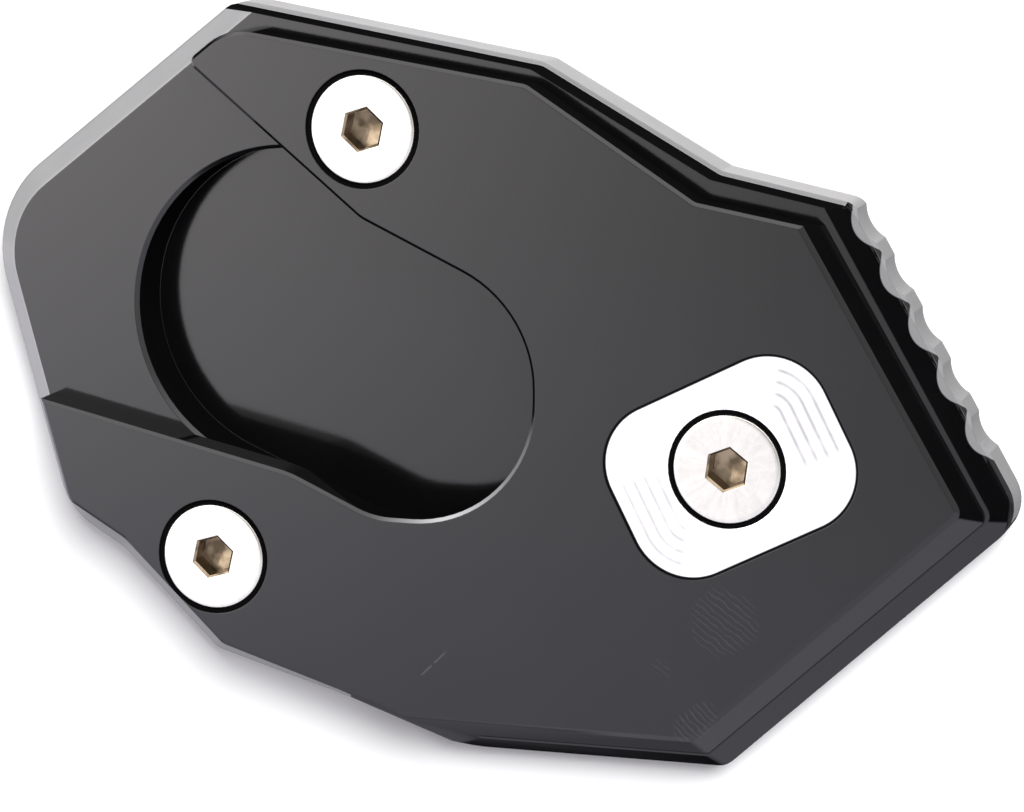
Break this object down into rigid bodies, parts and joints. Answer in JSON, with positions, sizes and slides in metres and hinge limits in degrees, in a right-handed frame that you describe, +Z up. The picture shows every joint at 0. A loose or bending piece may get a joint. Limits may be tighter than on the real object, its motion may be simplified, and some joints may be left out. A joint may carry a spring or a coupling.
{
  "type": "side stand foot enlarger",
  "caption": "Flat asymmetric metal pad that widens a motorbike side stand's foot: a pocketed base, a C-shaped clamp plate and countersunk screws.",
  "frame": {"origin": "underside of the base plate, at the middle of the outline's box", "axes": "+Z up from the ground through the plates, +X along the pad's length from the open mouth of the C to the scalloped grip edge, +Y towards the edge with the top screw"},
  "size_m": [0.118, 0.0845, 0.0135],
  "materials": {
    "base_metal": "satin black anodised, bare machined rim",
    "clamp_metal": "satin black anodised",
    "screw_metal": "bright zinc plated"
  },
  "bodies": {
    "root": {"base_plate": "base_metal", "clamp_plate": "clamp_metal", "screw_top": "screw_metal", "screw_left": "screw_metal", "screw_right": "screw_metal"}
  },
  "joints": []
}
